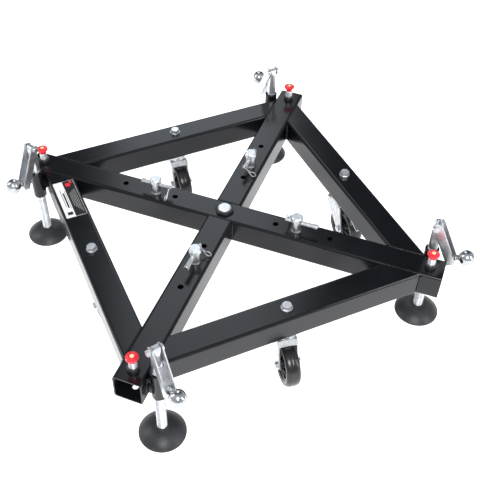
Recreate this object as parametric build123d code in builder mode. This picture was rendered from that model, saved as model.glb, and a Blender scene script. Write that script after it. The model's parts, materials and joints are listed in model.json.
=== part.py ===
from build123d import *
import os
from math import acos, cos, degrees, radians, sin, sqrt

os.makedirs("parts", exist_ok=True)

# Ground-support base for a truss tower. All lengths are in millimetres and all angles in degrees.
# Origin: centre of the cross, on the top face of the arms. +X runs along one arm (east),
# +Y along the other (north) and +Z is up.

# Welded frame of square tube
TUBE = 60.0
WALL = 3.0
TUBE_CORNER = 6.0
ARM_REACH = 495.0
SIDE_DISTANCE = 310.0

# Holes in the arms, as distances from the centre
SMALL_TRUSS_RADIUS = 121.6
COUPLER_RADIUS = 169.0
LARGE_TRUSS_RADIUS = 246.8
TRUSS_HOLE = 6.5
SCREW_BORE = 6.05

# Centre fitting
CENTRE_NUT_FLATS = 38.0
CENTRE_NUT_HEIGHT = 7.0
CENTRE_HEAD = 14.5
CENTRE_SCREW_BORE = 10.05
CENTRE_HEAD_HEIGHT = 3.0

# Truss couplers, their cross pins and spring clips
COUPLER_HEIGHT = 40.5
COUPLER_BODY = 10.2
COUPLER_HEAD = 13.0
COUPLER_HEAD_HEIGHT = 11.0
COUPLER_SCREW_FLATS = 19.0
COUPLER_SCREW_HEAD = 8.0
COUPLER_SCREW_DEPTH = 12.0
PIN_HEIGHT = 24.0
PIN_BORE = 5.3
PIN_LENGTH = 74.0
PIN_INNER_END = -26.0
CLIP_WIRE = 1.1
CLIP_LEG = 25.0
CLIP_RING = 6.0
CLIP_DROP = 48.0

# Socket plungers
PLUNGER_REACH = 465.0
PLUNGER_PIN = 5.0
PLUNGER_BORE = 5.06
PLUNGER_DROP = 17.0
STEM = 3.0
SPRING_SEAT = 6.5
BARREL = 8.0
COLLAR_HEIGHT = 10.0
BARREL_TOP = 25.0
KNOB_HEIGHT = 41.0
KNOB_RADIUS = 12.8
KNOB_DOME = 28.0

# Levelling jacks: the axis stands in the corner between a socket and a side tube
JACK_OUT = 459.0
JACK_LEFT = 47.0
SLEEVE = 15.0
SLEEVE_TOP = 8.0
SLEEVE_BOTTOM = -66.0
SPINDLE = 10.5
SPINDLE_BORE = 10.56
HINGE_HEIGHT = 75.0
FOOT_BOTTOM = -198.0
FOOT_RADIUS = 49.0
FOOT_HEIGHT = 27.0
FOOT_NECK = 14.0
FLAT_START = 16.0
FLAT_KNEE = 42.0
HINGE_HALF = 8.2
HINGE_CAP = 9.0
BOSS = 20.5
BOSS_HEIGHT = -32.0
BOSS_LENGTH = 13.0

# Folding cranks
CRANK_FOLD = 27.0
CRANK_LENGTH = 99.0
CRANK_WIDTH = 23.0
CRANK_SHEET = 2.5
CRANK_INSIDE = -9.0
CRANK_OUTSIDE = 12.7
CRANK_WEB_START = 42.0
BALL_ALONG = 88.0
BALL_OUT = 37.0
BALL_RADIUS = 17.3
BALL_NECK = 7.0
CRANK_END = 10.0
HINGE_PIN = 4.0
HINGE_HEAD = 6.0
HINGE_NUT_FLATS = 13.0
HINGE_NUT_REACH = 18.0

# Swivel castors
CASTOR_DISTANCE = 310.0
WHEEL = 50.0
WHEEL_WIDTH = 31.0
WHEEL_HUB = 13.0
WHEEL_HUB_WIDTH = 36.0
AXLE_HEIGHT = -137.0
AXLE = 4.0
AXLE_BORE = 4.08
AXLE_LENGTH = 56.0
TRAIL = 35.0
FORK_INSIDE = 19.0
FORK_SHEET = 3.0
RACE_BOTTOM = -66.0
CROWN_TOP = -75.0
BOLT = 6.0
BOLT_BORE = 6.07
BOLT_FLATS = 19.0
BOLT_HEAD = 7.5
BOLT_NUT_FLATS = 17.0
BOLT_NUT = 6.0
WASHER = 12.0
WASHER_SHEET = 2.5

# Brake pedals
PEDAL_SHEET = 2.5
PEDAL_WIDTH = 26.0
PEDAL_PIVOT = 20.0
PEDAL_HEIGHT = -81.5
PEDAL_PIN = 2.5

# Maker's label, on one side tube
LABEL_START = -237.0
LABEL_END = -112.0
LABEL_INNER = 286.5
LABEL_OUTER = 333.5
LABEL_SHEET = 0.3

CORNERS = {"east": 0.0, "north": 90.0, "west": 180.0, "south": 270.0}
SIDES = {"north_east": 45.0, "north_west": 135.0, "south_west": 225.0, "south_east": 315.0}

# Where each folded crank points, and where each castor trails, from +X
CRANK_HEADING = {"east": -6.0, "north": 136.0, "west": 258.0, "south": -35.0}
CASTOR_HEADING = {"north_east": -42.0, "north_west": -48.0, "south_west": -40.0, "south_east": -55.0}
BRAKED = ("north_east", "south_west")

# How far each cross pin has been pushed through, and the side its spring clip hangs on
PIN_SHIFT = {"east": 0.0, "north": -19.0, "west": -13.0, "south": 0.0}
CLIP_SIDE = {"east": 1.0, "north": -1.0, "west": 1.0, "south": 1.0}


def turned(angle, out=0.0, left=0.0, height=0.0, heading=None):
    """A level plane at a point given outward and to the left of a direction, facing heading."""
    turn = radians(angle)
    face = radians(angle if heading is None else heading)
    spot = (out * cos(turn) - left * sin(turn), out * sin(turn) + left * cos(turn), height)
    return Plane(origin=spot, x_dir=(cos(face), sin(face), 0), z_dir=(0, 0, 1))


def upright(place, aside=0.0):
    """The vertical plane through a level plane's X direction, moved aside to its left."""
    return Plane(place.origin, x_dir=place.x_dir, z_dir=-place.y_dir).offset(-aside)


def across(place, ahead=0.0):
    """The vertical plane square to a level plane's X direction, moved ahead along it."""
    return Plane(place.origin, x_dir=place.y_dir, z_dir=place.x_dir).offset(ahead)


def axis_of(place):
    return Axis(place.origin, place.z_dir)


def export(piece, name):
    piece.part.label = name
    export_step(piece.part, f"parts/{name}.step")


def tube_section():
    """Square tube outline, hung below the sketch's origin."""
    with Locations((0, -TUBE / 2)):
        RectangleRounded(TUBE, TUBE, TUBE_CORNER)
        RectangleRounded(TUBE - 2 * WALL, TUBE - 2 * WALL, TUBE_CORNER - WALL, mode=Mode.SUBTRACT)


def drill(place, radius, top=1.0, depth=TUBE + 2.0):
    """A vertical hole cut down from just above a level plane."""
    with BuildSketch(place.offset(top)) as hole:
        Circle(radius)
    extrude(hole.sketch, amount=-depth, mode=Mode.SUBTRACT)


def hexagon(place, flats, height, chamfered=0.0):
    """A hexagonal prism, its top corners turned down to a cone."""
    with BuildSketch(place) as outline:
        RegularPolygon(flats / 2, 6, major_radius=False)
    extrude(outline.sketch, amount=height)
    if chamfered:
        reach = flats / sqrt(3)
        with BuildSketch(upright(place)) as corner:
            with BuildLine():
                Polyline(
                    (flats / 2 - chamfered / 2, height),
                    (reach + 1, height),
                    (reach + 1, height - chamfered),
                    close=True,
                )
            make_face()
        revolve(corner.sketch, axis=axis_of(place), mode=Mode.SUBTRACT)


def turn_profile(place, points, mode=Mode.ADD):
    """A solid of revolution about the place's vertical, from (radius, height) points."""
    with BuildSketch(upright(place)) as profile:
        with BuildLine():
            Polyline(*points, close=True)
        make_face()
    revolve(profile.sketch, axis=axis_of(place), mode=mode)


def rod(place, radius, start, end, mode=Mode.ADD):
    """A round bar square to a plane, from start to end along its normal."""
    with BuildSketch(place.offset(start)) as section:
        Circle(radius)
    extrude(section.sketch, amount=end - start, mode=mode)


# ---------------------------------------------------------------- frame

def drill_arm(angle):
    """Truss, coupler and plunger holes along one half of an arm."""
    for reach in (SMALL_TRUSS_RADIUS, LARGE_TRUSS_RADIUS):
        drill(turned(angle, reach), TRUSS_HOLE)
    drill(turned(angle, COUPLER_RADIUS), SCREW_BORE)
    drill(turned(angle, PLUNGER_REACH), PLUNGER_BORE, depth=WALL + 2.0)
    drill(turned(angle, PLUNGER_REACH, height=-TUBE / 2), BOLT, depth=TUBE)


with BuildPart() as long_arm:
    with BuildSketch(Plane.YZ.offset(-ARM_REACH)):
        tube_section()
    extrude(amount=2 * ARM_REACH)
    drill_arm(CORNERS["east"])
    drill_arm(CORNERS["west"])
    drill(Plane.XY, CENTRE_SCREW_BORE)
export(long_arm, "arm_east_west")

for corner in ("north", "south"):
    with BuildPart() as short_arm:
        with BuildSketch(across(turned(CORNERS[corner]), TUBE / 2)):
            tube_section()
        extrude(amount=ARM_REACH - TUBE / 2)
        drill_arm(CORNERS[corner])
    export(short_arm, f"arm_{corner}")

for side, angle in SIDES.items():
    along = turned(angle, SIDE_DISTANCE, heading=angle + 90.0)
    with BuildPart() as side_tube:
        with BuildSketch(across(along, -ARM_REACH)):
            tube_section()
        extrude(amount=2 * ARM_REACH)
        for turn in (-45.0, 45.0):
            split(bisect_by=across(turned(angle - turn, TUBE / 2)), keep=Keep.TOP)
        drill(turned(angle, CASTOR_DISTANCE), BOLT + 0.05)
    export(side_tube, f"side_tube_{side}")


# ---------------------------------------------------------------- centre fitting

with BuildPart() as centre_nut:
    hexagon(Plane.XY, CENTRE_NUT_FLATS, CENTRE_NUT_HEIGHT, chamfered=3.0)
    drill(Plane.XY.offset(CENTRE_NUT_HEIGHT), CENTRE_SCREW_BORE)
export(centre_nut, "centre_nut")

with BuildPart() as centre_screw:
    turn_profile(Plane.XY.offset(CENTRE_NUT_HEIGHT), [
        (0, 0),
        (CENTRE_HEAD, 0),
        (CENTRE_HEAD, CENTRE_HEAD_HEIGHT - 1.5),
        (CENTRE_HEAD - 2.0, CENTRE_HEAD_HEIGHT),
        (0, CENTRE_HEAD_HEIGHT),
    ])
    rod(Plane.XY, CENTRE_SCREW_BORE - 0.05, -TUBE - 14.0, CENTRE_NUT_HEIGHT)
export(centre_screw, "centre_screw")


# ---------------------------------------------------------------- truss couplers

def coupler_at(corner):
    return turned(CORNERS[corner], COUPLER_RADIUS)


head_foot = COUPLER_HEIGHT - COUPLER_HEAD_HEIGHT
with BuildPart() as couplers:
    for corner in CORNERS:
        place = coupler_at(corner)
        turn_profile(place, [
            (0, 0),
            (COUPLER_BODY + 1.5, 0),
            (COUPLER_BODY, 4.0),
            (COUPLER_BODY, head_foot - 1.5),
            (COUPLER_HEAD, head_foot),
            (COUPLER_HEAD, COUPLER_HEIGHT - 2.8),
            (COUPLER_HEAD - 2.2, COUPLER_HEIGHT),
            (0, COUPLER_HEIGHT),
        ])
        rod(across(place.offset(PIN_HEIGHT)), PIN_BORE, -20.0, 20.0, mode=Mode.SUBTRACT)
        rod(place, SCREW_BORE, -1.0, COUPLER_SCREW_DEPTH + 1.0, mode=Mode.SUBTRACT)
export(couplers, "couplers")

with BuildPart() as coupler_screws:
    for corner in CORNERS:
        place = coupler_at(corner)
        hexagon(place.offset(-TUBE - COUPLER_SCREW_HEAD), COUPLER_SCREW_FLATS, COUPLER_SCREW_HEAD)
        rod(place, BOLT, -TUBE, COUPLER_SCREW_DEPTH)
export(coupler_screws, "coupler_screws")


def clip_plane(corner):
    """Square to a cross pin near its thin end: X along the clip's straight leg."""
    place = coupler_at(corner)
    spot = place.origin + place.z_dir * PIN_HEIGHT
    spot += place.x_dir * (PIN_INNER_END + PIN_SHIFT[corner] + 5.0)
    leg = place.y_dir * (CLIP_SIDE[corner] * cos(radians(CLIP_DROP)))
    leg -= place.z_dir * sin(radians(CLIP_DROP))
    return Plane(spot, x_dir=leg, z_dir=place.x_dir * CLIP_SIDE[corner])


with BuildPart() as cross_pins:
    for corner in CORNERS:
        inner = PIN_INNER_END + PIN_SHIFT[corner]
        outer = inner + PIN_LENGTH
        turn_profile(across(coupler_at(corner).offset(PIN_HEIGHT)), [
            (0, inner),
            (3.6, inner),
            (4.2, inner + 1.0),
            (4.9, outer - 8.0),
            (5.7, outer - 7.0),
            (5.7, outer - 1.0),
            (4.8, outer),
            (0, outer),
        ])
        rod(across(clip_plane(corner)), CLIP_WIRE + 0.1, -8.0, 8.0, mode=Mode.SUBTRACT)
export(cross_pins, "cross_pins")

with BuildPart() as spring_clips:
    for corner in CORNERS:
        with BuildLine(clip_plane(corner)) as wire:
            leg = Line((-8.0, 0), (CLIP_LEG, 0))
            ring = CenterArc((CLIP_LEG, CLIP_RING), CLIP_RING, -90.0, 240.0)
            Spline(
                ring @ 1,
                (CLIP_LEG - 9.5, 3.6),
                (7.0, 2.9),
                (0, 5.9),
                (-6.0, 7.8),
                tangents=(ring % 1, (-1.0, 0.6)),
            )
        with BuildSketch(Plane(leg @ 0, z_dir=leg % 0)) as section:
            Circle(CLIP_WIRE)
        sweep(section.sketch, path=wire.wire())
export(spring_clips, "spring_clips")


# ---------------------------------------------------------------- socket plungers

def plunger_at(corner):
    return turned(CORNERS[corner], PLUNGER_REACH)


with BuildPart() as plunger_collars:
    for corner in CORNERS:
        turn_profile(plunger_at(corner), [
            (BARREL, 0),
            (BARREL + 4.0, 0),
            (BARREL + 4.0, COLLAR_HEIGHT - 2.0),
            (BARREL + 2.5, COLLAR_HEIGHT),
            (BARREL, COLLAR_HEIGHT),
        ])
export(plunger_collars, "plunger_collars")

with BuildPart() as plunger_barrels:
    for corner in CORNERS:
        turn_profile(plunger_at(corner), [
            (SPRING_SEAT, 0),
            (BARREL, 0),
            (BARREL, BARREL_TOP - 1.0),
            (BARREL - 1.0, BARREL_TOP),
            (STEM + 0.08, BARREL_TOP),
            (STEM + 0.08, BARREL_TOP - 3.0),
            (SPRING_SEAT, BARREL_TOP - 3.0),
        ])
export(plunger_barrels, "plunger_barrels")

for corner in CORNERS:
    place = plunger_at(corner)
    with BuildPart() as plunger_pin:
        turn_profile(place, [
            (0, -PLUNGER_DROP),
            (PLUNGER_PIN - 1.5, -PLUNGER_DROP),
            (PLUNGER_PIN, -PLUNGER_DROP + 2.0),
            (PLUNGER_PIN, 1.0),
            (SPRING_SEAT - 0.4, 1.0),
            (SPRING_SEAT - 0.4, 3.0),
            (STEM, 3.0),
            (STEM, KNOB_HEIGHT - 5.0),
            (0, KNOB_HEIGHT - 5.0),
        ])
    export(plunger_pin, f"plunger_pin_{corner}")

    with BuildPart() as plunger_knob:
        with BuildSketch(upright(place)) as outline:
            with BuildLine():
                rim = degrees(acos(KNOB_RADIUS / KNOB_DOME))
                crown = CenterArc((0, KNOB_HEIGHT - KNOB_DOME), KNOB_DOME, rim, 90.0 - rim)
                foot = Polyline(
                    (0, KNOB_HEIGHT - 5.0),
                    (STEM + 0.02, KNOB_HEIGHT - 5.0),
                    (STEM + 0.02, BARREL_TOP + 0.5),
                    (7.6, BARREL_TOP + 0.5),
                    (8.2, KNOB_HEIGHT - 10.0),
                    (KNOB_RADIUS - 1.5, KNOB_HEIGHT - 7.5),
                    (KNOB_RADIUS, KNOB_HEIGHT - 6.0),
                    crown @ 0,
                )
                Line(crown @ 1, foot @ 0)
            make_face()
        revolve(outline.sketch, axis=axis_of(place))
    export(plunger_knob, f"plunger_knob_{corner}")


# ---------------------------------------------------------------- levelling jacks

def jack_at(corner, height=0.0):
    """The jack's axis, its X pointing where the folded crank points."""
    return turned(CORNERS[corner], JACK_OUT, JACK_LEFT, height, heading=CRANK_HEADING[corner])


def crank_plane(corner):
    """The crank's own frame at its hinge: X down the arm, Y out of its back, Z along the pin."""
    hinge = jack_at(corner, HINGE_HEIGHT)
    fold = radians(CRANK_FOLD)
    down = hinge.x_dir * sin(fold) - hinge.z_dir * cos(fold)
    return Plane(hinge.origin, x_dir=down, z_dir=-hinge.y_dir)


bosses = []
for corner, angle in CORNERS.items():
    socket_side = across(turned(angle + 90.0, JACK_LEFT, -JACK_OUT, BOSS_HEIGHT), TUBE / 2 - JACK_LEFT)
    with BuildPart() as boss:
        turn_profile(socket_side, [
            (0, 0),
            (BOSS, 0),
            (BOSS, 4.0),
            (BOSS - 3.5, 4.0),
            (BOSS - 3.5, 7.0),
            (BOSS, 7.0),
            (BOSS, BOSS_LENGTH),
            (0, BOSS_LENGTH),
        ])
        split(bisect_by=across(turned(angle + 45.0, SIDE_DISTANCE + TUBE / 2)), keep=Keep.TOP)
    bosses.append(boss.part)

with BuildPart() as jack_sleeves:
    for corner, boss in zip(CORNERS, bosses):
        place = jack_at(corner)
        add(boss)
        turn_profile(place, [
            (0, SLEEVE_BOTTOM),
            (SLEEVE - 1.5, SLEEVE_BOTTOM),
            (SLEEVE, SLEEVE_BOTTOM + 1.5),
            (SLEEVE, SLEEVE_TOP - 1.0),
            (SLEEVE - 1.0, SLEEVE_TOP),
            (0, SLEEVE_TOP),
        ])
        rod(place, SPINDLE_BORE, SLEEVE_BOTTOM - 1.0, SLEEVE_TOP + 1.0, mode=Mode.SUBTRACT)
export(jack_sleeves, "jack_sleeves")

for corner in CORNERS:
    axis_place = jack_at(corner)
    hinge = jack_at(corner, HINGE_HEIGHT)
    arm = crank_plane(corner)

    with BuildPart() as jack_foot:
        with BuildSketch(upright(axis_place)) as outline:
            with BuildLine():
                rim = Polyline(
                    (0, FOOT_BOTTOM + 3.0),
                    (FOOT_RADIUS - 9.0, FOOT_BOTTOM + 3.0),
                    (FOOT_RADIUS - 10.0, FOOT_BOTTOM),
                    (FOOT_RADIUS - 1.5, FOOT_BOTTOM),
                    (FOOT_RADIUS, FOOT_BOTTOM + 1.5),
                    (FOOT_RADIUS, FOOT_BOTTOM + 5.0),
                )
                neck = (FOOT_NECK, FOOT_BOTTOM + FOOT_HEIGHT - 2.5)
                dome = ThreePointArc(rim @ 1, (FOOT_RADIUS * 0.7, FOOT_BOTTOM + FOOT_HEIGHT * 0.64), neck)
                Polyline(
                    dome @ 1,
                    (FOOT_NECK - 2.0, FOOT_BOTTOM + FOOT_HEIGHT),
                    (SPINDLE + 0.05, FOOT_BOTTOM + FOOT_HEIGHT),
                    (SPINDLE + 0.05, FOOT_BOTTOM + 6.0),
                    (0, FOOT_BOTTOM + 6.0),
                    rim @ 0,
                )
            make_face()
        revolve(outline.sketch, axis=axis_of(axis_place))
    export(jack_foot, f"jack_foot_{corner}")

    with BuildPart() as jack_spindle:
        rod(axis_place, SPINDLE, FOOT_BOTTOM + 6.0, HINGE_HEIGHT + HINGE_CAP)
        with BuildSketch(upright(hinge)) as silhouette:
            with BuildLine():
                crown = ThreePointArc((HINGE_CAP, 0), (0, HINGE_CAP), (-HINGE_CAP, 0))
                Polyline(
                    crown @ 1,
                    (-SPINDLE - 1.0, -12.0),
                    (-SPINDLE - 1.0, FOOT_BOTTOM - HINGE_HEIGHT),
                    (SPINDLE + 1.0, FOOT_BOTTOM - HINGE_HEIGHT),
                    (SPINDLE + 1.0, -12.0),
                    crown @ 0,
                )
            make_face()
        extrude(silhouette.sketch, amount=SPINDLE + 1.0, both=True, mode=Mode.INTERSECT)
        for aside in (-1.0, 1.0):
            with BuildSketch(across(hinge)) as flat:
                with BuildLine():
                    Polyline(
                        (aside * SPINDLE, FLAT_START - HINGE_HEIGHT),
                        (aside * (HINGE_HALF + 0.3), FLAT_KNEE - HINGE_HEIGHT),
                        (aside * HINGE_HALF, 0),
                        (aside * (HINGE_HALF - 1.0), HINGE_CAP + 1.0),
                        (aside * (SPINDLE + 5.0), HINGE_CAP + 1.0),
                        (aside * (SPINDLE + 5.0), FLAT_START - HINGE_HEIGHT),
                        close=True,
                    )
                make_face()
            extrude(flat.sketch, amount=SPINDLE + 1.0, both=True, mode=Mode.SUBTRACT)
        flange = CRANK_WIDTH / 2 + 0.3
        rod(upright(hinge), HINGE_PIN, -flange - 3.0, HINGE_NUT_REACH + 1.5)
        rod(upright(hinge), HINGE_HEAD, -flange - 3.5, -flange)
        hexagon(upright(hinge).offset(flange), HINGE_NUT_FLATS, HINGE_NUT_REACH - flange)
    export(jack_spindle, f"jack_spindle_{corner}")

    with BuildPart() as crank_arm:
        with BuildSketch(arm) as outline:
            with BuildLine():
                Polyline(
                    (-CRANK_END + 5.0, CRANK_INSIDE),
                    (-CRANK_END, CRANK_INSIDE + 5.0),
                    (-CRANK_END, CRANK_OUTSIDE - 5.0),
                    (-CRANK_END + 5.0, CRANK_OUTSIDE),
                    (CRANK_LENGTH - 6.0, CRANK_OUTSIDE),
                    (CRANK_LENGTH, CRANK_OUTSIDE - 6.0),
                    (CRANK_LENGTH, CRANK_INSIDE),
                    close=True,
                )
            make_face()
        extrude(outline.sketch, amount=CRANK_WIDTH / 2, both=True)
        back = crank_arm.faces().sort_by(Axis(arm.origin, arm.y_dir))[0]
        fillet(back.edges().filter_by(lambda edge: abs((edge % 0.5).dot(arm.x_dir)) > 0.99), 3.0)
        with BuildSketch(arm) as hollow:
            with BuildLine():
                Polyline(
                    (-CRANK_END - 1.0, CRANK_INSIDE - 1.0),
                    (CRANK_WEB_START, CRANK_INSIDE - 1.0),
                    (CRANK_WEB_START, CRANK_INSIDE + CRANK_SHEET),
                    (CRANK_LENGTH + 1.0, CRANK_INSIDE + CRANK_SHEET),
                    (CRANK_LENGTH + 1.0, CRANK_OUTSIDE + 1.0),
                    (-CRANK_END - 1.0, CRANK_OUTSIDE + 1.0),
                    close=True,
                )
            make_face()
        extrude(hollow.sketch, amount=CRANK_WIDTH / 2 - CRANK_SHEET, both=True, mode=Mode.SUBTRACT)
        rod(arm, HINGE_PIN + 0.06, -CRANK_WIDTH, CRANK_WIDTH, mode=Mode.SUBTRACT)
    export(crank_arm, f"crank_arm_{corner}")

    with BuildPart() as crank_ball:
        seat = Plane(arm.origin + arm.x_dir * BALL_ALONG, x_dir=arm.x_dir, z_dir=arm.y_dir)
        web_face = CRANK_INSIDE + CRANK_SHEET
        neck_top = BALL_OUT - sqrt(BALL_RADIUS ** 2 - BALL_NECK ** 2)
        with BuildSketch(upright(seat)) as outline:
            with BuildLine():
                neck = Polyline(
                    (0, web_face),
                    (BALL_NECK + 1.5, web_face),
                    (BALL_NECK + 1.5, web_face + 2.5),
                    (BALL_NECK, web_face + 4.0),
                    (BALL_NECK, neck_top),
                )
                ball = ThreePointArc(neck @ 1, (BALL_RADIUS, BALL_OUT), (0, BALL_OUT + BALL_RADIUS))
                Line(ball @ 1, neck @ 0)
            make_face()
        revolve(outline.sketch, axis=axis_of(seat))
    export(crank_ball, f"crank_ball_{corner}")


# ---------------------------------------------------------------- swivel castors

def castor_at(side):
    """The castor's swivel axis at the top of the frame, its X pointing where the wheel trails."""
    return turned(SIDES[side], CASTOR_DISTANCE, heading=CASTOR_HEADING[side])


crown_under = CROWN_TOP - FORK_SHEET
nut_height = crown_under - 0.3 - BOLT_NUT

with BuildPart() as castor_bolts:
    for side in SIDES:
        place = castor_at(side)
        hexagon(place.offset(WASHER_SHEET), BOLT_FLATS, BOLT_HEAD, chamfered=1.5)
        rod(place, BOLT, nut_height - 0.5, WASHER_SHEET)
export(castor_bolts, "castor_bolts")

with BuildPart() as castor_washers:
    for side in SIDES:
        rod(castor_at(side), WASHER, 0, WASHER_SHEET)
        rod(castor_at(side), BOLT + 0.2, 0, WASHER_SHEET, mode=Mode.SUBTRACT)
export(castor_washers, "castor_washers")

with BuildPart() as castor_nuts:
    for side in SIDES:
        hexagon(castor_at(side).offset(nut_height), BOLT_NUT_FLATS, BOLT_NUT, chamfered=1.0)
        rod(castor_at(side), BOLT + 0.05, nut_height, nut_height + BOLT_NUT, mode=Mode.SUBTRACT)
export(castor_nuts, "castor_nuts")

with BuildPart() as castor_raceways:
    for side in SIDES:
        turn_profile(castor_at(side), [
            (BOLT + 0.05, -TUBE),
            (22.0, -TUBE),
            (22.5, -TUBE - 2.0),
            (23.5, -TUBE - 2.5),
            (23.5, RACE_BOTTOM),
            (BOLT + 0.05, RACE_BOTTOM),
        ])
export(castor_raceways, "castor_raceways")

for side in SIDES:
    place = castor_at(side)
    braked = side in BRAKED
    middle = place.origin + place.x_dir * TRAIL + place.z_dir * AXLE_HEIGHT
    axle_place = upright(Plane(middle, x_dir=place.x_dir, z_dir=place.z_dir))

    with BuildPart() as castor_fork:
        with BuildSketch(upright(place)) as cheek:
            with BuildLine():
                Polyline(
                    (-26.0, CROWN_TOP),
                    (24.0, CROWN_TOP),
                    (30.5, CROWN_TOP - 11.0),
                    (TRAIL + 10.7, AXLE_HEIGHT + 2.5),
                    (TRAIL - 10.0, AXLE_HEIGHT - 4.5),
                    (-26.0, CROWN_TOP - 14.0),
                    close=True,
                )
            make_face()
            with Locations((TRAIL, AXLE_HEIGHT)):
                Circle(11.0)
        extrude(cheek.sketch, amount=FORK_INSIDE + FORK_SHEET, both=True)
        shoulders = castor_fork.edges().filter_by(
            lambda edge: (edge @ 0.5).Z > CROWN_TOP - 2.0 and abs((edge % 0.5).dot(place.x_dir)) > 0.9
        )
        fillet(shoulders, 4.0)
        with BuildSketch(upright(place)) as inside:
            with BuildLine():
                apron_top = 30.0 if braked else 22.0
                Polyline(
                    (-40.0, crown_under),
                    (apron_top, crown_under),
                    (apron_top + 5.0, CROWN_TOP - 12.0),
                    (80.0, CROWN_TOP - 12.0),
                    (80.0, AXLE_HEIGHT - 20.0),
                    (-40.0, AXLE_HEIGHT - 20.0),
                    close=True,
                )
            make_face()
        extrude(inside.sketch, amount=FORK_INSIDE, both=True, mode=Mode.SUBTRACT)
        turn_profile(place, [
            (0, CROWN_TOP - 1.0),
            (21.0, CROWN_TOP - 1.0),
            (24.5, CROWN_TOP + 2.0),
            (24.5, RACE_BOTTOM - 0.4),
            (0, RACE_BOTTOM - 0.4),
        ])
        rod(place, BOLT_BORE, CROWN_TOP - 5.0, RACE_BOTTOM + 1.0, mode=Mode.SUBTRACT)
        rod(axle_place, AXLE + 0.05, -FORK_INSIDE - 5.0, FORK_INSIDE + 5.0, mode=Mode.SUBTRACT)
        if braked:
            with BuildSketch(upright(place)) as pivot:
                with Locations((PEDAL_PIVOT, PEDAL_HEIGHT)):
                    Circle(PEDAL_PIN + 0.06)
            extrude(pivot.sketch, amount=FORK_INSIDE + 5.0, both=True, mode=Mode.SUBTRACT)
    export(castor_fork, f"castor_fork_{side}")

    with BuildPart() as castor_axle:
        cheek_face = FORK_INSIDE + FORK_SHEET
        head = AXLE_LENGTH / 2 - cheek_face
        rod(axle_place, AXLE, -AXLE_LENGTH / 2, AXLE_LENGTH / 2)
        hexagon(axle_place.offset(cheek_face), 13.0, head - 0.5, chamfered=1.0)
        hexagon(axle_place.offset(-cheek_face - head + 0.8), 13.0, head - 0.8)
    export(castor_axle, f"castor_axle_{side}")

    with BuildPart() as castor_wheel:
        half_tread = WHEEL_WIDTH / 2
        half_hub = WHEEL_HUB_WIDTH / 2
        turn_profile(axle_place, [
            (AXLE_BORE, -half_hub),
            (WHEEL_HUB, -half_hub),
            (WHEEL_HUB + 1.5, -9.0),
            (WHEEL - 20.0, -8.0),
            (WHEEL - 13.0, -half_tread + 2.0),
            (WHEEL - 8.0, -half_tread),
            (WHEEL - 3.0, -half_tread + 1.5),
            (WHEEL - 0.8, -half_tread + 5.5),
            (WHEEL, -4.0),
            (WHEEL, 4.0),
            (WHEEL - 0.8, half_tread - 5.5),
            (WHEEL - 3.0, half_tread - 1.5),
            (WHEEL - 8.0, half_tread),
            (WHEEL - 13.0, half_tread - 2.0),
            (WHEEL - 20.0, 8.0),
            (WHEEL_HUB + 1.5, 9.0),
            (WHEEL_HUB, half_hub),
            (AXLE_BORE, half_hub),
        ])
    export(castor_wheel, f"castor_wheel_{side}")

    if braked:
        with BuildPart() as brake_pedal:
            with BuildSketch(upright(place)) as blade:
                with BuildLine() as bend:
                    Polyline(
                        (PEDAL_PIVOT - 6.0, PEDAL_HEIGHT),
                        (42.0, PEDAL_HEIGHT),
                        (62.0, PEDAL_HEIGHT - 4.5),
                        (92.0, PEDAL_HEIGHT - 18.5),
                    )
                    offset(amount=PEDAL_SHEET / 2)
                make_face()
            extrude(blade.sketch, amount=PEDAL_WIDTH / 2, both=True)
            with BuildSketch(upright(place)) as pivot:
                with Locations((PEDAL_PIVOT, PEDAL_HEIGHT)):
                    Circle(PEDAL_PIN)
            extrude(pivot.sketch, amount=FORK_INSIDE + FORK_SHEET + 1.0, both=True)
        export(brake_pedal, f"brake_pedal_{side}")


# ---------------------------------------------------------------- maker's label

with BuildPart() as label:
    beside = turned(SIDES["south_west"], (LABEL_INNER + LABEL_OUTER) / 2, (LABEL_START + LABEL_END) / 2)
    with BuildSketch(beside):
        RectangleRounded(LABEL_OUTER - LABEL_INNER, LABEL_END - LABEL_START, 2.0)
    extrude(amount=LABEL_SHEET)
export(label, "label")
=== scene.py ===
"""Looks of the truss tower base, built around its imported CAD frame. Metres, in the frame's own axes."""

import json
import math

import bmesh
import bpy
from mathutils import Matrix, Vector, noise


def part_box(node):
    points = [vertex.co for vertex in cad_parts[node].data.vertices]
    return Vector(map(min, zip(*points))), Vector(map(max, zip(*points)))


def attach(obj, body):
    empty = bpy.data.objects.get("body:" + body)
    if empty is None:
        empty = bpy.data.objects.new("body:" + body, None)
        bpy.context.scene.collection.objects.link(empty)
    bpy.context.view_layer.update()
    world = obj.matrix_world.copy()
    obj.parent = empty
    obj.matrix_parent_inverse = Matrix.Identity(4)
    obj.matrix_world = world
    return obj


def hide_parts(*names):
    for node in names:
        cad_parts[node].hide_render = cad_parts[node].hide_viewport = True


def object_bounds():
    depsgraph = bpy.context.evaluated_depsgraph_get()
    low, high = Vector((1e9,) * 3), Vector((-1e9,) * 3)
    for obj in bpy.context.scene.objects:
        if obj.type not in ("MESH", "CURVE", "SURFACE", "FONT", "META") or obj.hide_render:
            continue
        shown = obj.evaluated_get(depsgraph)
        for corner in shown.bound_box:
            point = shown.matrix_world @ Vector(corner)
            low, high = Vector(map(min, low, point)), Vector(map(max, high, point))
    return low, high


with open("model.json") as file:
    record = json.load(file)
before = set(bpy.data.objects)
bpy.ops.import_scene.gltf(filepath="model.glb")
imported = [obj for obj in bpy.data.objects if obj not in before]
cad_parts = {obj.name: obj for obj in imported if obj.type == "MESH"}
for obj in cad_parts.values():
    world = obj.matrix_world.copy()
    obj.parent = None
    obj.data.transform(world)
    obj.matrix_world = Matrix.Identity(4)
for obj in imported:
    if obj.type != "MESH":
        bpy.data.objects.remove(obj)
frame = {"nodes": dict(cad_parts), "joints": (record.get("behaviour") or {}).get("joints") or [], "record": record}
cad_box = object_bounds()

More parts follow.
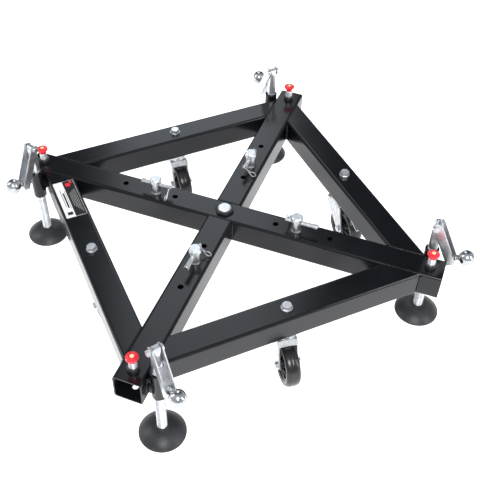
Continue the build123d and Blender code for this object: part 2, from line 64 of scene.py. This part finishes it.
RECORD = frame["record"]
JOINTS = {joint["name"]: joint for joint in frame["joints"]}
SLOT_OF = {part["node"]: part["material_slot"] for part in RECORD["subparts"]}
CORNERS = {"east": 0.0, "north": 90.0, "west": 180.0, "south": 270.0}
SIDES = {"north_east": 45.0, "north_west": 135.0, "south_west": 225.0, "south_east": 315.0}

MM = 0.001
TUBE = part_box("arm_north")[1].x * 2
TUBE_CORNER = 6 * MM
SIDE_DISTANCE = Vector(JOINTS["castor_north_east_swivel"]["pos_m"][:2]).length
SEAM_NEAR = (SIDE_DISTANCE - TUBE / 2) * math.sqrt(2) - TUBE / 2
SEAM_FAR = (SIDE_DISTANCE + TUBE / 2) * math.sqrt(2) - TUBE / 2
SPINDLE = 10.5 * MM
THREAD_PITCH = 4.0 * MM
THREAD_DEPTH = 1.7 * MM
THREAD_TOP = 14.0 * MM
JACK_OUT = 459.0 * MM
BOSS_RADIUS = 20.5 * MM
BOSS_HEIGHT = -32.0 * MM
COUPLER_RADIUS = 13.0 * MM
WHEEL_RIBS = 8


# ---------------------------------------------------------------- node materials

class Finish:
    """A node material, with short calls for the nodes that the finishes share."""

    def __init__(self, name, **sockets):
        self.material = bpy.data.materials.new(name)
        self.material.use_nodes = True
        self.tree = self.material.node_tree
        self.shader = self.tree.nodes["Principled BSDF"]
        self.place = self.tree.nodes.new("ShaderNodeTexCoord").outputs["Object"]
        self.normal = None
        for socket, value in sockets.items():
            self.shader.inputs[socket.replace("_", " ")].default_value = value

    def link(self, source, target):
        self.tree.links.new(source, target)

    def node(self, kind, **values):
        made = self.tree.nodes.new(kind)
        for key, value in values.items():
            if key in made.inputs:
                made.inputs[key].default_value = value
            else:
                setattr(made, key, value)
        return made

    def stretched(self, scale, turn=(0, 0, 0)):
        mapping = self.node("ShaderNodeMapping")
        mapping.inputs["Scale"].default_value = scale
        mapping.inputs["Rotation"].default_value = turn
        self.link(self.place, mapping.inputs["Vector"])
        return mapping.outputs["Vector"]

    def noise(self, size, detail=3.0, rough=0.5, distortion=0.0, at=None):
        """Noise whose blobs are about `size` metres across."""
        made = self.node("ShaderNodeTexNoise", Scale=1.0 / size, Detail=detail, Roughness=rough)
        made.inputs["Distortion"].default_value = distortion
        self.link(at or self.place, made.inputs["Vector"])
        return made.outputs["Fac"]

    def ramp(self, source, low, high, start=(0, 0, 0, 1), end=(1, 1, 1, 1)):
        made = self.node("ShaderNodeValToRGB")
        made.color_ramp.elements[0].position = low
        made.color_ramp.elements[1].position = high
        made.color_ramp.elements[0].color = start
        made.color_ramp.elements[1].color = end
        self.link(source, made.inputs["Fac"])
        return made.outputs["Color"]

    def spread(self, source, low, high):
        made = self.node("ShaderNodeMapRange")
        made.inputs["To Min"].default_value = low
        made.inputs["To Max"].default_value = high
        self.link(source, made.inputs["Value"])
        return made.outputs["Result"]

    def math(self, operation, first, second):
        made = self.node("ShaderNodeMath", operation=operation)
        for place, value in zip(made.inputs, (first, second)):
            if isinstance(value, (int, float)):
                place.default_value = value
            else:
                self.link(value, place)
        return made.outputs["Value"]

    def mix(self, amount, first, second):
        made = self.node("ShaderNodeMix", data_type="RGBA")
        self.link(amount, made.inputs["Factor"])
        for name, value in (("A", first), ("B", second)):
            place = [i for i in made.inputs if i.name == name and i.type == "RGBA"][0]
            if isinstance(value, tuple):
                place.default_value = value
            else:
                self.link(value, place)
        return [o for o in made.outputs if o.type == "RGBA"][0]

    def color(self, source):
        self.link(source, self.shader.inputs["Base Color"])

    def rough(self, source):
        self.link(source, self.shader.inputs["Roughness"])

    def bump(self, source, depth, strength=1.0):
        """Adds a bump of about `depth` metres on top of the ones before it."""
        made = self.node("ShaderNodeBump", Strength=strength, Distance=depth)
        self.link(source, made.inputs["Height"])
        if self.normal:
            self.link(self.normal, made.inputs["Normal"])
        self.normal = made.outputs["Normal"]
        self.link(self.normal, self.shader.inputs["Normal"])


def grey(value, warm=0.0):
    return (value * (1 + warm), value, value * (1 - warm), 1)


def powder_coat():
    finish = Finish("powder_coat", Specular_IOR_Level=0.34)
    cloud = finish.noise(90 * MM, detail=4)
    dust = finish.noise(9 * MM, detail=6, rough=0.7)
    paint = finish.ramp(cloud, 0.3, 0.7, (0.0035, 0.0039, 0.0052, 1), (0.0062, 0.0067, 0.0086, 1))
    scuffs = finish.noise(2.5 * MM, detail=5, rough=0.65, at=finish.stretched((1, 0.12, 1), (0, 0, 0.6)))
    scuffed = finish.ramp(scuffs, 0.66, 0.74)
    worn = finish.mix(scuffed, paint, (0.013, 0.0135, 0.016, 1))
    speck = finish.ramp(finish.math("MULTIPLY", dust, finish.noise(0.9 * MM, detail=2)), 0.42, 0.50)
    finish.color(finish.mix(speck, worn, (0.030, 0.030, 0.032, 1)))
    finish.rough(finish.spread(finish.math("ADD", finish.math("MULTIPLY", cloud, 0.6),
                                           finish.math("MULTIPLY", dust, 0.4)), 0.12, 0.27))
    finish.bump(finish.noise(1.3 * MM, detail=2, rough=0.4), 0.03 * MM, 0.25)
    finish.bump(finish.noise(22 * MM, detail=1), 0.25 * MM, 0.12)
    return finish.material


def zinc():
    finish = Finish("zinc_plate", Metallic=1.0)
    patches = finish.noise(7 * MM, detail=4, rough=0.6)
    grain = finish.noise(0.5 * MM, detail=3)
    finish.color(finish.ramp(patches, 0.3, 0.72, (0.52, 0.535, 0.56, 1), (0.80, 0.81, 0.82, 1)))
    finish.rough(finish.spread(finish.math("ADD", finish.math("MULTIPLY", patches, 0.7),
                                           finish.math("MULTIPLY", grain, 0.3)), 0.22, 0.52))
    finish.bump(grain, 0.02 * MM, 0.25)
    finish.bump(finish.noise(5 * MM, detail=2), 0.12 * MM, 0.15)
    return finish.material


def chrome():
    finish = Finish("chrome_polish", Metallic=1.0)
    smear = finish.noise(11 * MM, detail=5, rough=0.6, distortion=0.6)
    finish.color(finish.ramp(smear, 0.3, 0.75, (0.40, 0.41, 0.43, 1), (0.56, 0.57, 0.58, 1)))
    finish.rough(finish.spread(smear, 0.10, 0.28))
    finish.bump(finish.noise(6 * MM, detail=2), 0.05 * MM, 0.08)
    return finish.material


def black_steel():
    finish = Finish("black_steel", Specular_IOR_Level=0.6)
    patches = finish.noise(4 * MM, detail=4)
    finish.color(finish.ramp(patches, 0.35, 0.7, (0.010, 0.010, 0.011, 1), (0.026, 0.026, 0.028, 1)))
    finish.rough(finish.spread(patches, 0.25, 0.45))
    finish.bump(finish.noise(0.6 * MM), 0.02 * MM, 0.3)
    return finish.material


def rubber():
    finish = Finish("pad_rubber", Specular_IOR_Level=0.4)
    bloom = finish.noise(18 * MM, detail=5, rough=0.6)
    finish.color(finish.ramp(bloom, 0.3, 0.75, (0.017, 0.0175, 0.020, 1), (0.034, 0.035, 0.039, 1)))
    finish.rough(finish.spread(bloom, 0.34, 0.52))
    finish.bump(finish.noise(0.8 * MM, detail=3, rough=0.6), 0.06 * MM, 0.5)
    return finish.material


def wheel_black():
    finish = Finish("wheel_black", Specular_IOR_Level=0.5)
    flow = finish.noise(14 * MM, detail=4, distortion=0.4)
    dust = finish.ramp(finish.noise(1.6 * MM, detail=5, rough=0.7), 0.60, 0.72)
    moulded = finish.ramp(flow, 0.3, 0.7, (0.006, 0.006, 0.007, 1), (0.013, 0.013, 0.014, 1))
    finish.color(finish.mix(dust, moulded, (0.05, 0.048, 0.045, 1)))
    finish.rough(finish.spread(flow, 0.16, 0.34))
    finish.bump(finish.noise(2.2 * MM, detail=2), 0.05 * MM, 0.2)
    return finish.material


def knob_red():
    finish = Finish("knob_red", Specular_IOR_Level=0.5, Coat_Weight=0.25, Coat_Roughness=0.1)
    flow = finish.noise(5 * MM, detail=3)
    finish.color(finish.ramp(flow, 0.3, 0.7, (0.70, 0.014, 0.026, 1), (0.88, 0.034, 0.046, 1)))
    finish.rough(finish.spread(flow, 0.22, 0.38))
    finish.bump(finish.noise(0.7 * MM), 0.02 * MM, 0.2)
    return finish.material


def knob_dot():
    finish = Finish("knob_dot")
    flow = finish.noise(1.5 * MM, detail=3)
    finish.color(finish.ramp(flow, 0.3, 0.7, (0.72, 0.66, 0.36, 1), (0.84, 0.79, 0.52, 1)))
    finish.rough(finish.spread(flow, 0.35, 0.55))
    return finish.material


def film(name, value, warm=0.0):
    """Printed plastic film, with a faint ink mottle."""
    finish = Finish(name, Specular_IOR_Level=0.3)
    mottle = finish.noise(3 * MM, detail=5, rough=0.6)
    finish.color(finish.ramp(mottle, 0.3, 0.7, grey(value * 0.93, warm), grey(value, warm)))
    finish.rough(finish.spread(mottle, 0.28, 0.42))
    finish.bump(finish.noise(12 * MM), 0.08 * MM, 0.2)
    return finish.material


def pale_floor():
    finish = Finish("pale_floor", Specular_IOR_Level=0.2)
    cloud = finish.noise(0.6, detail=3)
    finish.color(finish.ramp(cloud, 0.2, 0.8, grey(0.88), grey(0.91)))
    finish.rough(finish.spread(cloud, 0.75, 0.9))
    finish.shader.inputs["Emission Color"].default_value = grey(1.0)
    finish.shader.inputs["Emission Strength"].default_value = 0.88
    return finish.material


FINISHES = {
    "frame_black": powder_coat(),
    "zinc": zinc(),
    "chrome": chrome(),
    "black_steel": black_steel(),
    "pad_rubber": rubber(),
    "wheel_black": wheel_black(),
    "knob_red": knob_red(),
    "label_film": film("label_white", 0.90),
}
DOT = knob_dot()
INK = film("label_dark", 0.012)
TINT = film("label_grey", 0.30, 0.03)

for name, node in frame["nodes"].items():
    node.data.materials.clear()
    node.data.materials.append(FINISHES[SLOT_OF[name]])


# ---------------------------------------------------------------- mesh helpers

def piece(name, mesh, body, slot, material=None):
    """A finished mesh as a piece that rides on a body."""
    bmesh.ops.recalc_face_normals(mesh, faces=mesh.faces)
    data = bpy.data.meshes.new(name)
    mesh.to_mesh(data)
    mesh.free()
    data.materials.append(material or FINISHES[slot])
    made = bpy.data.objects.new(name, data)
    bpy.context.scene.collection.objects.link(made)
    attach(made, body)
    return made


def smooth(made, angle=35.0):
    """Shades the faces smooth, apart from edges sharper than an angle."""
    data = made.data
    data.shade_smooth()
    mesh = bmesh.new()
    mesh.from_mesh(data)
    for edge in mesh.edges:
        edge.smooth = len(edge.link_faces) == 2 and edge.calc_face_angle(0) < math.radians(angle)
    mesh.to_mesh(data)
    mesh.free()
    return made


def frame_along(axis, ahead=None):
    """A rotation whose Z is an axis, with X as near to `ahead` as it can be."""
    z = Vector(axis).normalized()
    x = Vector(ahead) if ahead else z.orthogonal()
    x = (x - z * x.dot(z)).normalized()
    return Matrix((x, z.cross(x), z)).transposed().to_4x4()


def placed(spot, axis, ahead=None):
    return Matrix.Translation(Vector(spot)) @ frame_along(axis, ahead)


def lathe(mesh, points, matrix, segments=64):
    """Adds a solid of revolution from (radius, height) points, turned about the matrix's Z."""
    rings = []
    for radius, height in points:
        if radius < 1e-7:
            rings.append([mesh.verts.new(matrix @ Vector((0, 0, height)))])
            continue
        ring = []
        for step in range(segments):
            turn = 2 * math.pi * step / segments
            spot = Vector((radius * math.cos(turn), radius * math.sin(turn), height))
            ring.append(mesh.verts.new(matrix @ spot))
        rings.append(ring)
    for first, second in zip(rings, rings[1:]):
        for step in range(segments):
            corners = [first[step % len(first)], first[(step + 1) % len(first)],
                       second[(step + 1) % len(second)], second[step % len(second)]]
            kept = list(dict.fromkeys(corners))
            if len(kept) > 2:
                mesh.faces.new(kept)


def thread(mesh, matrix, start, end, major, depth, pitch, segments=36):
    """Adds a round thread between two heights, as one helical skin with closed ends."""
    profile = [0.0, 0.0, 0.35, 1.0, 1.0, 1.0, 0.65, 0.0]
    rows = len(profile)
    step_up = pitch / rows
    count = int((end - start) / step_up) + rows
    grid = []
    for row in range(-rows, count + 1):
        ring = []
        for step in range(segments):
            turn = 2 * math.pi * step / segments
            height = start + row * step_up + pitch * step / segments
            deep = depth * profile[row % rows]
            fade = min(1.0, max(0.0, (height - start) / pitch), max(0.0, (end - height) / pitch))
            radius = major - deep if fade > 0 else major - depth
            height = min(max(height, start), end)
            spot = Vector((radius * math.cos(turn), radius * math.sin(turn), height))
            ring.append(mesh.verts.new(matrix @ spot))
        grid.append(ring)
    for row in range(len(grid) - rows - 1):
        for step in range(segments):
            if step < segments - 1:
                after = (grid[row][step + 1], grid[row + 1][step + 1])
            else:
                after = (grid[row + rows][0], grid[row + rows + 1][0])
            corners = [grid[row][step], after[0], after[1], grid[row + 1][step]]
            mesh.faces.new(corners)
    bmesh.ops.remove_doubles(mesh, verts=mesh.verts, dist=1e-6)


def bead(mesh, route, radius, seed=0.0, sides=8):
    """Adds a rippled weld bead along a route of points."""
    spacing = 0.8 * MM
    spots = []
    for first, second in zip(route, route[1:]):
        run = (second - first).length
        steps = max(1, round(run / spacing))
        spots += [first.lerp(second, step / steps) for step in range(steps)]
    spots.append(route[-1])
    rings = []
    travelled = 0.0
    for index, spot in enumerate(spots):
        before = spots[max(index - 1, 0)]
        after = spots[min(index + 1, len(spots) - 1)]
        travelled += (spot - before).length
        facing = frame_along(after - before)
        ripple = (travelled / (2.6 * MM)) % 1.0
        lump = noise.noise(spot * 180 + Vector((seed, 0, 0)))
        reach = radius * (0.88 + 0.16 * math.sin(math.pi * ripple) + 0.14 * lump)
        if index in (0, len(spots) - 1):
            reach *= 0.45
        drift = (noise.noise(spot * 90), noise.noise(spot * 90 + Vector((7, 3, 1))), 0)
        wander = Vector(drift) * radius * 0.15
        ring = []
        for side in range(sides):
            turn = 2 * math.pi * side / sides
            local = Vector((reach * math.cos(turn), reach * math.sin(turn), 0)) + wander
            ring.append(mesh.verts.new(spot + facing.to_3x3() @ local))
        rings.append(ring)
    for first, second in zip(rings, rings[1:]):
        gap = min(range(sides), key=lambda shift: (second[shift].co - first[0].co).length)
        for side in range(sides):
            mesh.faces.new([first[side], first[(side + 1) % sides],
                            second[(side + 1 + gap) % sides], second[(side + gap) % sides]])
    for ring in (rings[0], rings[-1]):
        mesh.faces.new(ring)


def on_arm(angle, out, left, height):
    turn = math.radians(angle)
    return Vector((out * math.cos(turn) - left * math.sin(turn),
                   out * math.sin(turn) + left * math.cos(turn), height))


# ---------------------------------------------------------------- welds

def weld_seams():
    """The beads that fill the seams between tubes, and around the jacks' bosses."""
    mesh = bmesh.new()
    groove = 1.9 * MM
    fill = 2.6 * MM
    fillet = 2.3 * MM
    side = TUBE / 2
    for index, angle in enumerate(CORNERS.values()):
        for hand in (-1, 1):
            for height in (-groove, groove - TUBE):
                near = on_arm(angle, SEAM_NEAR + 4 * MM, hand * (side - groove), height)
                far = on_arm(angle, SEAM_FAR - 4 * MM, hand * (side - groove), height)
                bead(mesh, [near, far], fill, seed=index + hand)
            for out in (SEAM_NEAR - 0.6 * MM, SEAM_FAR + 0.4 * MM):
                top = on_arm(angle, out, hand * (side + 0.6 * MM), -TUBE_CORNER)
                foot = on_arm(angle, out, hand * (side + 0.6 * MM), TUBE_CORNER - TUBE)
                bead(mesh, [top, foot], fillet, seed=index * 2 + hand)
    for hand in (-1, 1):
        for height in (-groove, groove - TUBE):
            first = Vector((-side + 4 * MM, hand * (side - groove), height))
            second = Vector((side - 4 * MM, hand * (side - groove), height))
            bead(mesh, [first, second], fill, seed=hand)
        for across in (-1, 1):
            corner = Vector((across * (side + 0.5 * MM), hand * (side + 0.5 * MM), 0))
            bead(mesh, [corner + Vector((0, 0, -TUBE_CORNER)), corner + Vector((0, 0, TUBE_CORNER - TUBE))],
                 fillet, seed=hand + across)
    for angle in CORNERS.values():
        ring = []
        for step in range(25):
            turn = math.radians(-112 + 224 * step / 24)
            ring.append(on_arm(angle, JACK_OUT + BOSS_RADIUS * math.cos(turn), side + 0.7 * MM,
                               BOSS_HEIGHT + BOSS_RADIUS * math.sin(turn)))
        bead(mesh, ring, 1.9 * MM, seed=angle)
    smooth(piece("weld_beads", mesh, "base", "frame_black"), 60)


# ---------------------------------------------------------------- jacks

def threaded_spindle(corner):
    """The spindle's forged eye, kept from the CAD, above a cut thread."""
    node = frame["nodes"][f"jack_spindle_{corner}"]
    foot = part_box(node.name)[0].z
    hinge = Vector(JOINTS[f"crank_{corner}_fold"]["pos_m"])
    mesh = bmesh.new()
    mesh.from_mesh(node.data)
    bmesh.ops.bisect_plane(mesh, geom=mesh.verts[:] + mesh.edges[:] + mesh.faces[:],
                           plane_co=(0, 0, THREAD_TOP), plane_no=(0, 0, 1), clear_inner=True, dist=1e-6)
    smooth(piece(f"spindle_eye_{corner}", mesh, f"jack_{corner}", "zinc"))
    mesh = bmesh.new()
    upright = Matrix.Translation((hinge.x, hinge.y, 0))
    thread(mesh, upright, foot + 2 * MM, THREAD_TOP + 0.2 * MM, SPINDLE, THREAD_DEPTH, THREAD_PITCH)
    root = SPINDLE - THREAD_DEPTH
    lathe(mesh, [(0, foot + 0.2 * MM), (root, foot + 0.2 * MM), (root, foot + 4 * MM)], upright, 36)
    cut = smooth(piece(f"spindle_thread_{corner}", mesh, f"jack_{corner}", "zinc"), 50)
    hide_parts(node.name)


def foot_rings(corner):
    """The moulded lip around the spindle, on the pad."""
    low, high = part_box(f"jack_foot_{corner}")
    middle = (low + high) / 2
    mesh = bmesh.new()
    lip = [(10.7, 27.0), (12.6, 27.2), (13.4, 26.6), (13.6, 25.4)]
    lathe(mesh, [(r * MM, low.z + h * MM) for r, h in lip], Matrix.Translation((middle.x, middle.y, 0)), 48)
    smooth(piece(f"foot_lip_{corner}", mesh, f"jack_{corner}", "pad_rubber"))


# ---------------------------------------------------------------- castors

def castor_wheel(side):
    """A moulded wheel: crowned tread, recessed rim with ribs, and a hub with a steel bush."""
    joint = JOINTS[f"castor_{side}_roll"]
    axis = Vector(joint["axis"])
    spot = Vector(joint["pos_m"])
    place = placed(spot, axis, (0, 0, 1))
    mesh = bmesh.new()
    half = [(6.2, 17.8), (12.2, 17.9), (13.0, 17.2), (13.4, 9.6), (14.8, 8.2), (28.5, 7.6), (30.4, 8.4),
            (35.6, 13.0), (36.6, 14.2), (38.0, 14.6), (40.2, 14.7), (41.0, 15.2), (43.0, 15.4), (45.6, 14.9),
            (47.4, 13.2), (48.8, 10.4), (49.6, 6.8), (49.9, 3.2), (49.96, 0.6), (49.8, 0.25)]
    outline = [(r * MM, h * MM) for r, h in half] + [(r * MM, -h * MM) for r, h in reversed(half)]
    lathe(mesh, outline + outline[:1], place, 96)
    for hand in (-1, 1):
        for rib in range(WHEEL_RIBS):
            turn = place @ Matrix.Rotation(2 * math.pi * rib / WHEEL_RIBS + 0.2, 4, "Z")
            corners = [(12.6, 8.8), (12.6, 15.4), (20, 12.4), (33.6, 11.6), (33.6, 8.0)]
            faces = []
            for width in (-1.3, 1.3):
                faces.append([mesh.verts.new(turn @ Vector((r * MM, width * MM, hand * (h - 0.8) * MM)))
                              for r, h in corners])
            mesh.faces.new(faces[0])
            mesh.faces.new(list(reversed(faces[1])))
            for step in range(len(corners)):
                after = (step + 1) % len(corners)
                mesh.faces.new([faces[0][step], faces[0][after], faces[1][after], faces[1][step]])
    wheel = smooth(piece(f"moulded_wheel_{side}", mesh, f"wheel_{side}", "wheel_black"), 28)
    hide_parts(f"castor_wheel_{side}")
    mesh = bmesh.new()
    bush = [(4.2, 18.0), (6.0, 18.0), (6.3, 17.6), (6.3, -17.6), (6.0, -18.0), (4.2, -18.0), (4.2, 18.0)]
    lathe(mesh, [(r * MM, h * MM) for r, h in bush], place, 32)
    smooth(piece(f"wheel_bush_{side}", mesh, f"wheel_{side}", "zinc"))


# ---------------------------------------------------------------- plungers, couplers, label

def plunger_details(corner):
    """The raised ring and the inlaid dot on the knob's crown."""
    low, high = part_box(f"plunger_knob_{corner}")
    middle = (low + high) / 2
    crown = Matrix.Translation((middle.x, middle.y, high.z))
    mesh = bmesh.new()
    ring = [(6.0, -1.3), (6.4, -0.55), (7.1, -0.3), (7.9, -0.5), (8.4, -1.0), (8.6, -1.9)]
    lathe(mesh, [(r * MM, h * MM) for r, h in ring], crown, 48)
    smooth(piece(f"knob_ring_{corner}", mesh, f"plunger_{corner}", "knob_red"), 60)
    mesh = bmesh.new()
    dot = [(0, 0.0), (2.0, -0.01), (3.6, -0.06), (4.1, -0.22), (4.2, -0.8)]
    lathe(mesh, [(r * MM, h * MM) for r, h in dot], crown, 32)
    smooth(piece(f"knob_dot_{corner}", mesh, f"plunger_{corner}", "knob_red", DOT), 60)


def barrel_threads():
    """A fine thread around each plunger's barrel, above its lock collar."""
    mesh = bmesh.new()
    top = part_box("plunger_barrels")[1].z
    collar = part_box("plunger_collars")[1].z
    for corner in CORNERS:
        knob_low, knob_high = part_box(f"plunger_knob_{corner}")
        middle = (knob_low + knob_high) / 2
        coil = bmesh.new()
        thread(coil, Matrix.Translation((middle.x, middle.y, 0)), collar - 1 * MM, top - 1.4 * MM,
               8.35 * MM, 0.5 * MM, 1.5 * MM, 32)
        data = bpy.data.meshes.new("coil")
        coil.to_mesh(data)
        coil.free()
        mesh.from_mesh(data)
        bpy.data.meshes.remove(data)
    smooth(piece("barrel_threads", mesh, "base", "zinc"), 50)


def coupler_faces():
    """Lathe-turned rings and a centre-drilled dimple on top of each coupler."""
    mesh = bmesh.new()
    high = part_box("couplers")[1]
    reach = high.x - COUPLER_RADIUS
    rings = [(0, -0.9), (0.9, -0.35), (1.6, 0.10)]
    for step in range(9):
        radius = 2.2 + step * 0.95
        rings += [(radius, 0.16), (radius + 0.5, 0.02)]
    rings += [(10.7, 0.02), (10.75, -0.3)]
    for angle in CORNERS.values():
        spot = on_arm(angle, reach, 0, high.z)
        lathe(mesh, [(r * MM, h * MM) for r, h in rings], Matrix.Translation(spot), 48)
    smooth(piece("coupler_faces", mesh, "base", "zinc"), 60)


def label_print():
    """A plain two-tone print: a dark strip with grey bars and a red mark, and dark bars on the pale half."""
    outward = Vector((-1, -1, 0)).normalized()
    along = Vector((1, -1, 0)).normalized()
    low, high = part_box("label")
    middle = (low + high) / 2
    turn = Matrix((along, outward, Vector((0, 0, 1)))).transposed().to_4x4()
    place = Matrix.Translation((middle.x, middle.y, high.z)) @ turn

    def plate(mesh, x0, x1, y0, y1, lift):
        corners = [(x0, y0), (x1, y0), (x1, y1), (x0, y1)]
        top = [mesh.verts.new(place @ Vector((x * MM, y * MM, lift * MM))) for x, y in corners]
        foot = [mesh.verts.new(place @ Vector((x * MM, y * MM, -0.1 * MM))) for x, y in corners]
        mesh.faces.new(top)
        for step in range(4):
            mesh.faces.new([top[step], foot[step], foot[(step + 1) % 4], top[(step + 1) % 4]])

    dark = bmesh.new()
    plate(dark, -62.0, 62.0, -23.0, 2.0, 0.04)
    for start, end, foot, width in ((-30, 34, 4.2, 1.0), (-22, 30, 7.4, 3.6), (-34, 26, 13.4, 1.2),
                                    (44, 54, 5.5, 12.0)):
        plate(dark, start, end, foot, foot + width, 0.08)
    piece("label_strip", dark, "base", "label_film", INK)
    bars = bmesh.new()
    for row in range(5):
        plate(bars, -30 + row * 3, 52 - row * 6, -19.0 + row * 3.4, -17.7 + row * 3.4, 0.08)
    piece("label_bars", bars, "base", "label_film", TINT)
    mark = bmesh.new()
    plate(mark, -54, -42, -14, -3, 0.08)
    plate(mark, -60, -51, -19, -13, 0.08)
    piece("label_mark", mark, "base", "label_film", FINISHES["knob_red"])


weld_seams()
for corner in CORNERS:
    threaded_spindle(corner)
    foot_rings(corner)
    plunger_details(corner)
for side in SIDES:
    castor_wheel(side)
barrel_threads()
coupler_faces()
label_print()


# ---------------------------------------------------------------- floor, light and camera

def floor():
    mesh = bmesh.new()
    bmesh.ops.create_grid(mesh, x_segments=1, y_segments=1, size=9.0)
    data = bpy.data.meshes.new("floor")
    mesh.to_mesh(data)
    mesh.free()
    data.materials.append(pale_floor())
    made = bpy.data.objects.new("floor", data)
    made.location = (0, 0, cad_box[0][2])
    bpy.context.scene.collection.objects.link(made)


def softbox(name, spot, aim, width, height, power, color=(1, 1, 1)):
    lamp = bpy.data.lights.new(name, "AREA")
    lamp.shape = "RECTANGLE"
    lamp.size = width
    lamp.size_y = height
    lamp.energy = power
    lamp.color = color
    made = bpy.data.objects.new(name, lamp)
    made.location = spot
    made.rotation_euler = (Vector(aim) - Vector(spot)).to_track_quat("-Z", "Y").to_euler()
    bpy.context.scene.collection.objects.link(made)


def camera():
    azimuth, elevation, roll = map(math.radians, (21.07, 44.22, 0.5))
    right = Vector((math.cos(azimuth), math.sin(azimuth), 0))
    back = Vector((math.sin(azimuth) * math.cos(elevation), -math.cos(azimuth) * math.cos(elevation),
                   math.sin(elevation)))
    turned = Matrix.Rotation(roll, 3, back)
    right = turned @ right
    lens = bpy.data.cameras.new("camera")
    lens.lens = 58.67
    lens.sensor_width = 36.0
    lens.shift_x = 0.0384
    lens.shift_y = -0.0392
    lens.clip_start = 0.05
    made = bpy.data.objects.new("camera", lens)
    made.matrix_world = Matrix.Translation((0.4656, -1.2118, 1.2211)) @ Matrix(
        (right, back.cross(right), back)).transposed().to_4x4()
    bpy.context.scene.collection.objects.link(made)
    bpy.context.scene.camera = made


def studio():
    """A bright room with a dark wall high up behind the object."""
    world = bpy.data.worlds.new("studio")
    world.use_nodes = True
    nodes = world.node_tree.nodes
    links = world.node_tree.links
    place = nodes.new("ShaderNodeTexCoord")
    nearness = nodes.new("ShaderNodeVectorMath")
    nearness.operation = "DOT_PRODUCT"
    nearness.inputs[1].default_value = Vector((-0.26, 0.68, 0.69)).normalized()
    shade = nodes.new("ShaderNodeValToRGB")
    shade.color_ramp.elements[0].color = (0.62, 0.64, 0.67, 1)
    shade.color_ramp.elements[0].position = 0.66
    shade.color_ramp.elements[1].color = (0.09, 0.10, 0.12, 1)
    shade.color_ramp.elements[1].position = 0.88
    links.new(place.outputs["Generated"], nearness.inputs[0])
    links.new(nearness.outputs["Value"], shade.inputs["Fac"])
    links.new(shade.outputs["Color"], nodes["Background"].inputs["Color"])
    nodes["Background"].inputs["Strength"].default_value = 1.0
    bpy.context.scene.world = world


floor()
studio()
softbox("back_strip", (-0.95, 2.1, 2.1), (0, 0, 0), 1.1, 2.4, 19, (0.88, 0.94, 1.0))
softbox("front_flash", (0.95, -2.3, 2.6), (0, 0, 0), 0.9, 1.3, 72)
softbox("left_strip", (-2.4, -0.8, 1.5), (0, 0, 0), 0.5, 1.8, 20)
softbox("right_strip", (2.5, -0.4, 1.2), (0, 0, 0), 0.5, 1.6, 20)
camera()
bpy.context.scene.view_settings.view_transform = "Standard"
